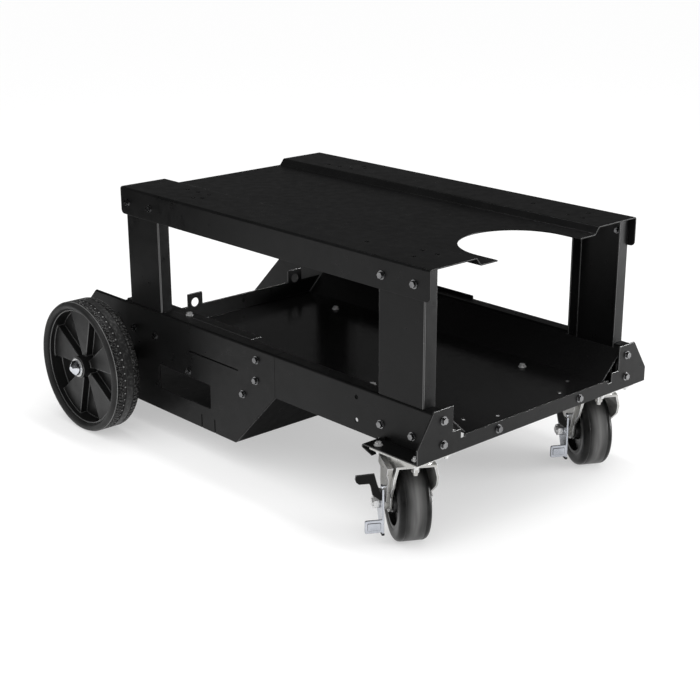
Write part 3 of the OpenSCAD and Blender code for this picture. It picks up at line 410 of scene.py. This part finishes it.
# The tyre's outline in mm, from the rim's outer edge over the tread to its
# inner edge: radius, distance from the middle of the width, and its pattern.
TYRE_RADIUS, TYRE_WIDTH = 121, 58
TYRE_OUTLINE = [
    (107.0, 22.0, ""), (107.4, 24.6, ""), (109.0, 27.0, ""), (111.4, 28.5, ""),
    (114.0, 29.0, ""), (116.4, 28.6, ""), (118.3, 27.3, ""), (119.4, 25.4, ""),
    (119.7, 23.4, ""), (120.3, 22.6, "bead"), (121.0, 22.0, "bead"), (121.0, 21.2, "bead"),
    (120.3, 20.6, ""), (119.7, 20.0, ""),
    (119.9, 19.6, "brick0"), (121.0, 19.2, "brick0"), (121.0, 16.6, "brick0"),
    (120.9, 16.3, "brick1"), (121.0, 16.0, "brick1"), (121.0, 12.9, "brick1"),
    (120.9, 12.6, "brick2"), (121.0, 12.3, "brick2"), (121.0, 9.0, "brick2"),
    (119.9, 8.6, "brick2"), (119.4, 8.2, ""), (119.4, 7.0, ""),
    (120.6, 6.7, "nub"), (121.0, 6.2, "nub"), (121.0, 4.4, "nub"), (120.6, 3.9, "nub"),
    (119.4, 3.6, ""), (119.4, 2.6, ""), (120.6, 2.3, ""), (121.0, 1.8, "band"),
    (121.0, -11.2, ""), (120.6, -11.7, ""), (119.3, -12.0, ""), (119.3, -13.0, ""),
    (120.4, -13.3, "rib"), (121.0, -13.8, "rib"), (121.0, -19.0, "rib"),
    (120.4, -22.0, "rib"), (119.2, -24.6, "rib"), (117.6, -26.6, "rib"),
    (116.0, -27.6, ""), (114.0, -28.6, ""), (111.4, -29.0, ""), (109.0, -27.6, ""),
    (107.4, -25.2, ""), (107.0, -22.0, ""),
]
# Steps round the tyre, and how many of them one block, nub or rib repeats in
TYRE_STEPS = 360
BRICK_PITCH, NUB_PITCH, RIB_PITCH = 3, 6, 4
BLOCK_DROP, RIB_DROP = 1.5, 1.6


def tread_drop(kind, i):
    """How far the tread lies below its top, in mm, at step i round the tyre."""
    if kind.startswith("brick"):
        row = int(kind[-1])
        return BLOCK_DROP if (i + row) % BRICK_PITCH == 0 else 0.0
    if kind == "nub":
        return 0.0 if i % NUB_PITCH in (0, 1) else BLOCK_DROP
    if kind == "rib":
        return RIB_DROP if i % RIB_PITCH == 0 else 0.0
    return 0.0


def ring_index(kind, i):
    """Which of the tyre's materials a ring of this kind has at step i."""
    # The bead's rings take a painted highlight, one step of each nub a painted glint
    if kind == "bead":
        return 1
    if kind == "nub" and i % NUB_PITCH == 0:
        return 2
    if kind == "band":
        return 4
    return 3 if kind.startswith("brick") or kind == "rib" else 0


def make_tyre(side):
    """The rear tyre: rounded walls, a bead, small blocks, nubs and ribs."""
    low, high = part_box(f"rear_tyre_{side}")
    centre, radius = (low + high) / 2, (high.z - low.z) / 2
    scale = (high.y - low.y) / TYRE_WIDTH
    out = 1 if side == "left" else -1
    outline = [(r * radius / TYRE_RADIUS, w * scale) for r, w, _ in TYRE_OUTLINE]
    kinds = [kind for _, _, kind in TYRE_OUTLINE]

    def radius_at(i, j, r):
        return r - tread_drop(kinds[j], i) / MM_PER_M

    def place(u, v, a):
        return Vector((centre.x + u, centre.y + out * a, centre.z + v))

    bm = revolve(outline, TYRE_STEPS, radius_at, place)
    paint_rings(bm, len(outline), lambda i, j: ring_index(kinds[j], i))
    tyre = as_object(bm, f"tyre_{side}", (TYRE, BEAD_HIGHLIGHT, NUB_GLINT, TREAD, BAND))
    shade_by_angle(tyre, TYRE_CREASE)
    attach(tyre, f"rear_wheel_{side}")
    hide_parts(f"rear_tyre_{side}")


CASTER_ANGLE = math.radians(59)
CASTER_STEPS = 160
# Half of the caster tread's outline in mm, from its bore over the round
# shoulder and the mould line to the middle: radius, distance from the middle
CASTER_RADIUS, CASTER_HALF_WIDTH, SHOULDER = 63.5, 25.0, 8.0
TREAD_HALF = (
    [(44.0, 24.0), (46.0, CASTER_HALF_WIDTH)]
    + [(CASTER_RADIUS - SHOULDER + SHOULDER * math.sin(math.radians(a)),
        CASTER_HALF_WIDTH - SHOULDER + SHOULDER * math.cos(math.radians(a)))
       for a in range(0, 100, 10)]
    + [(CASTER_RADIUS, 15.6), (CASTER_RADIUS - 0.15, 15.4), (CASTER_RADIUS, 15.2),
       (CASTER_RADIUS, 7.0), (CASTER_RADIUS, 0.4)]
)
# Beside the axle centre, in metres: the lever's lower end and the pin's seat
LEVER_END = (-0.04265, -0.0150, -0.0447)
GUARD_PIN = (-0.0445, -0.0230, 0.0350)
# The lever tip's size and corner rounding
TIP_SIZE, TIP_CORNER = (0.0047, 0.0192, 0.0040), 0.0009
# The pin head's outline in mm: radius and height over its seat
PIN_STEPS = 28
PIN_CENTRE = 0.01
PIN_OUTLINE = [(PIN_CENTRE, 2.4), (1.6, 2.2), (3.0, 1.5), (3.8, 0.4), (3.8, -0.8),
               (2.3, -0.9), (2.3, -7.0), (PIN_CENTRE, -7.0)]


def in_metres(outline):
    return [(r / MM_PER_M, w / MM_PER_M) for r, w in outline]


def caster_place(side, x, y, z):
    """The matrix of a point beside the caster's axle centre: x along the
    axle, y along the trail. The matrix's own X axis is the axle's."""
    low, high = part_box(f"caster_tread_{side}")
    turn = Matrix.Rotation(CASTER_ANGLE, 4, "Z")
    return Matrix.Translation((low + high) / 2) @ turn @ Matrix.Translation((x, y, z))


def make_caster_tread(side):
    """The rubber tread, paler in the middle from wear and a painted sheen, with a fine mould
    line each side.
    """
    outline = TREAD_HALF + [(r, -w) for r, w in reversed(TREAD_HALF)]
    low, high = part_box(f"caster_tread_{side}")
    shrink = (high.z - low.z) / (2 * CASTER_RADIUS / MM_PER_M)
    bm = revolve(in_metres(outline), CASTER_STEPS, lambda i, j, r: r * shrink,
                 lambda u, v, a: Vector((a, u, v)))
    tread = as_object(bm, f"tread_{side}", (CASTER,))
    shade_by_angle(tread, TREAD_CREASE)
    tread.matrix_world = caster_place(side, 0, 0, 0)
    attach(tread, f"caster_wheel_{side}")
    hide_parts(f"caster_tread_{side}")


def rounded_block(size, corner):
    """A block with all its edges rounded."""
    bm = bmesh.new()
    bmesh.ops.create_cube(bm, size=1)
    bmesh.ops.scale(bm, vec=size, verts=bm.verts)
    bmesh.ops.bevel(bm, geom=bm.edges[:], offset=corner, segments=2, profile=0.5,
                    affect="EDGES")
    return bm


def make_lever_tip(side):
    """A black rubber tip that is pushed over the brake lever's lower end."""
    tip = as_object(rounded_block(TIP_SIZE, TIP_CORNER), f"lever_tip_{side}", (CORE,))
    tip.matrix_world = caster_place(side, *LEVER_END)
    shade_by_angle(tip, SMALL_CREASE)
    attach(tip, f"brake_{side}")


def make_guard_pin(side):
    """The domed head of a pin that holds the brake's sheet."""
    bm = revolve(in_metres(PIN_OUTLINE), PIN_STEPS, same_radius,
                 lambda u, v, a: Vector((-a, u, v)))
    pin = as_object(bm, f"guard_pin_{side}", (CHROME,))
    pin.matrix_world = caster_place(side, *GUARD_PIN)
    shade_by_angle(pin, SMALL_CREASE)
    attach(pin, f"swivel_{side}")


for side in SIDES:
    make_tyre(side)
    make_caster_tread(side)
    make_lever_tip(side)
    make_guard_pin(side)

# Floor, light
WHITE = (1, 1, 1, 1)
FLOOR_COLOUR = (0.97, 0.97, 0.97, 1)
FLOOR_RADIUS, FLOOR_STEPS = 60, 64
# How much of the floor's white is its own, so that shadows stay light
FLOOR_GLOW_SHARE = 0.44
WORLD_FILL = 0.4
# The sky: where it shines from, its spread in degrees and its strength
SKY_TOWARDS, SKY_SPREAD, SKY_STRENGTH = (0.25, -0.55, 1.0), 100, 2.2
SKY_DISTANCE = 3
# Cloth that only reflections see: domes by the elevations of their rows in
# degrees, flat cards by their places in metres, and how much each glows
WALL_ROWS, WALL_GLOW = (3, 14, 30), 0.075
CEILING_ROWS, CEILING_GLOW = (30, 40, 54, 70, 89), 0.004
DOME_RADIUS, DOME_STEPS = 8.0, 48
# Painted shade: a dark card beside the rear half, seen only in reflections, which darkens
# them
SIDE_CARD_X, SIDE_CARD_Y, SIDE_CARD_Z, SIDE_CARD_GLOW = (-2.4, -0.58), -0.7, (0.0, 0.7), 0.0
# Painted shade: a dark card on the floor under the tray, seen only in reflections, stands in
# for the shadowed floor there
FLOOR_CARD_X, FLOOR_CARD_Y, FLOOR_CARD_Z, FLOOR_CARD_GLOW = (-0.45, 0.38), 0.2, 0.002, 0.05
# Area lamps: name, place, target, size in metres, power in watts
LAMPS = (
    ("lamp_strip", (0.0, 0.1, 2.4), (0, 0, 0.3), (2.2, 0.14), 14),
    ("lamp_front", (2.5, 2.2, 0.5), (0.3, 0, 0.2), (1.4, 0.7), 105),
    ("lamp_side", (1.2, -3.2, 1.2), (0, 0, 0.3), (1.2, 0.8), 3),
)


def straight_rays(tree):
    """1 for camera, glossy and transmission rays, and 0 for all others."""
    path = tree.nodes.new("ShaderNodeLightPath")
    seen = path.outputs["Is Camera Ray"]
    for ray in ("Is Glossy Ray", "Is Transmission Ray"):
        either = tree.nodes.new("ShaderNodeMath")
        either.operation = "MAXIMUM"
        tree.links.new(seen, either.inputs[0])
        tree.links.new(path.outputs[ray], either.inputs[1])
        seen = either.outputs[0]
    return seen


def mix_shaders(tree, factor, first, second):
    """The first shader where factor is 0 and the second where it is 1."""
    mix = tree.nodes.new("ShaderNodeMixShader")
    if isinstance(factor, float):
        mix.inputs["Fac"].default_value = factor
    else:
        tree.links.new(factor, mix.inputs["Fac"])
    tree.links.new(first, mix.inputs[1])
    tree.links.new(second, mix.inputs[2])
    return mix.outputs[0]


def floor_material():
    """Pale floor that shows as white and still takes the cart's shadow."""
    material = bpy.data.materials.new("floor")
    material.use_nodes = True
    tree = material.node_tree
    tree.nodes.clear()
    plain = tree.nodes.new("ShaderNodeBsdfDiffuse")
    plain.inputs["Color"].default_value = FLOOR_COLOUR
    glow = tree.nodes.new("ShaderNodeEmission")
    glow.inputs["Color"].default_value = WHITE
    glow.inputs["Strength"].default_value = 1.0
    shown = mix_shaders(tree, FLOOR_GLOW_SHARE, plain.outputs[0], glow.outputs[0])
    final = mix_shaders(tree, straight_rays(tree), plain.outputs[0], shown)
    out = tree.nodes.new("ShaderNodeOutputMaterial")
    tree.links.new(final, out.inputs["Surface"])
    return material


def make_floor():
    bm = bmesh.new()
    bmesh.ops.create_circle(bm, cap_ends=True, segments=FLOOR_STEPS, radius=FLOOR_RADIUS)
    floor = as_object(bm, "floor", (floor_material(),), smooth=False)


def make_lamp(name, place, target, size, power):
    data = bpy.data.lights.new(name, "AREA")
    data.shape = "RECTANGLE"
    data.size, data.size_y = size
    data.energy = power
    lamp = bpy.data.objects.new(name, data)
    bpy.context.scene.collection.objects.link(lamp)
    lamp.location = place
    lamp.rotation_mode = "QUATERNION"
    lamp.rotation_quaternion = (Vector(target) - Vector(place)).to_track_quat("-Z", "Y")


def make_sun(name, towards, spread, strength):
    """A wide soft light from one direction, even over the whole floor."""
    data = bpy.data.lights.new(name, "SUN")
    data.angle = math.radians(spread)
    data.energy = strength
    sun = bpy.data.objects.new(name, data)
    bpy.context.scene.collection.objects.link(sun)
    sun.location = Vector(towards) * SKY_DISTANCE
    sun.rotation_mode = "QUATERNION"
    sun.rotation_quaternion = Vector(towards).to_track_quat("Z", "Y")


def make_world():
    """White where it is seen straight or in a reflection, a soft fill elsewhere."""
    world = bpy.data.worlds.new("studio")
    bpy.context.scene.world = world
    world.use_nodes = True
    tree = world.node_tree
    tree.nodes.clear()
    shades = []
    for strength in (WORLD_FILL, 1.0):
        shade = tree.nodes.new("ShaderNodeBackground")
        shade.inputs["Color"].default_value = WHITE
        shade.inputs["Strength"].default_value = strength
        shades.append(shade.outputs[0])
    out = tree.nodes.new("ShaderNodeOutputWorld")
    tree.links.new(mix_shaders(tree, straight_rays(tree), *shades), out.inputs["Surface"])


def make_flag(name, bm, glow):
    """A cloth that only reflections see; it keeps the black paint black."""
    paint = Paint(f"{name}_cloth", Roughness=0.9, Specular_IOR_Level=0.0,
                  Emission_Color=WHITE, Emission_Strength=glow)
    paint.base(paint.blend(paint.noise(2), (0.004, 0.004, 0.004), (0.008, 0.008, 0.008)))
    flag = as_object(bm, name, (paint.material,), smooth=False)
    flag.visible_camera = False
    flag.visible_diffuse = False
    flag.visible_shadow = False


def dome_of_cloth(rows):
    """A band of a dome between the elevations in rows, in degrees."""
    bm = bmesh.new()
    rings = []
    for degrees in rows:
        out = DOME_RADIUS * math.cos(math.radians(degrees))
        up = DOME_RADIUS * math.sin(math.radians(degrees))
        turns = [2 * math.pi * i / DOME_STEPS for i in range(DOME_STEPS)]
        rings.append([bm.verts.new((out * math.cos(turn), out * math.sin(turn), up))
                      for turn in turns])
    for lower, upper in zip(rings, rings[1:]):
        for i in range(DOME_STEPS):
            k = (i + 1) % DOME_STEPS
            bm.faces.new((lower[i], lower[k], upper[k], upper[i]))
    return bm


def card_of_cloth(*corners):
    """One flat card between its corners."""
    bm = bmesh.new()
    bm.faces.new([bm.verts.new(corner) for corner in corners])
    return bm


def make_flags():
    """Dim walls, a dark ceiling, and painted shade: a dark card beside the rear half
    and one on the floor under the tray, standing in for the shadowed floor there."""
    make_flag("flag_walls", dome_of_cloth(WALL_ROWS), WALL_GLOW)
    make_flag("flag_ceiling", dome_of_cloth(CEILING_ROWS), CEILING_GLOW)
    rear, front = SIDE_CARD_X
    low, high = SIDE_CARD_Z
    side_shade_card = card_of_cloth((rear, SIDE_CARD_Y, low), (front, SIDE_CARD_Y, low),
                              (front, SIDE_CARD_Y, high), (rear, SIDE_CARD_Y, high))
    make_flag("painted_shade_side", side_shade_card, SIDE_CARD_GLOW)
    rear, front = FLOOR_CARD_X
    edge, up = FLOOR_CARD_Y, FLOOR_CARD_Z
    under_shade_card = card_of_cloth((rear, -edge, up), (front, -edge, up),
                               (front, edge, up), (rear, edge, up))
    make_flag("painted_shade_under", under_shade_card, FLOOR_CARD_GLOW)


make_floor()
make_world()
make_flags()
make_sun("lamp_sky", SKY_TOWARDS, SKY_SPREAD, SKY_STRENGTH)
for lamp in LAMPS:
    make_lamp(*lamp)
bpy.context.scene.view_settings.view_transform = "Standard"
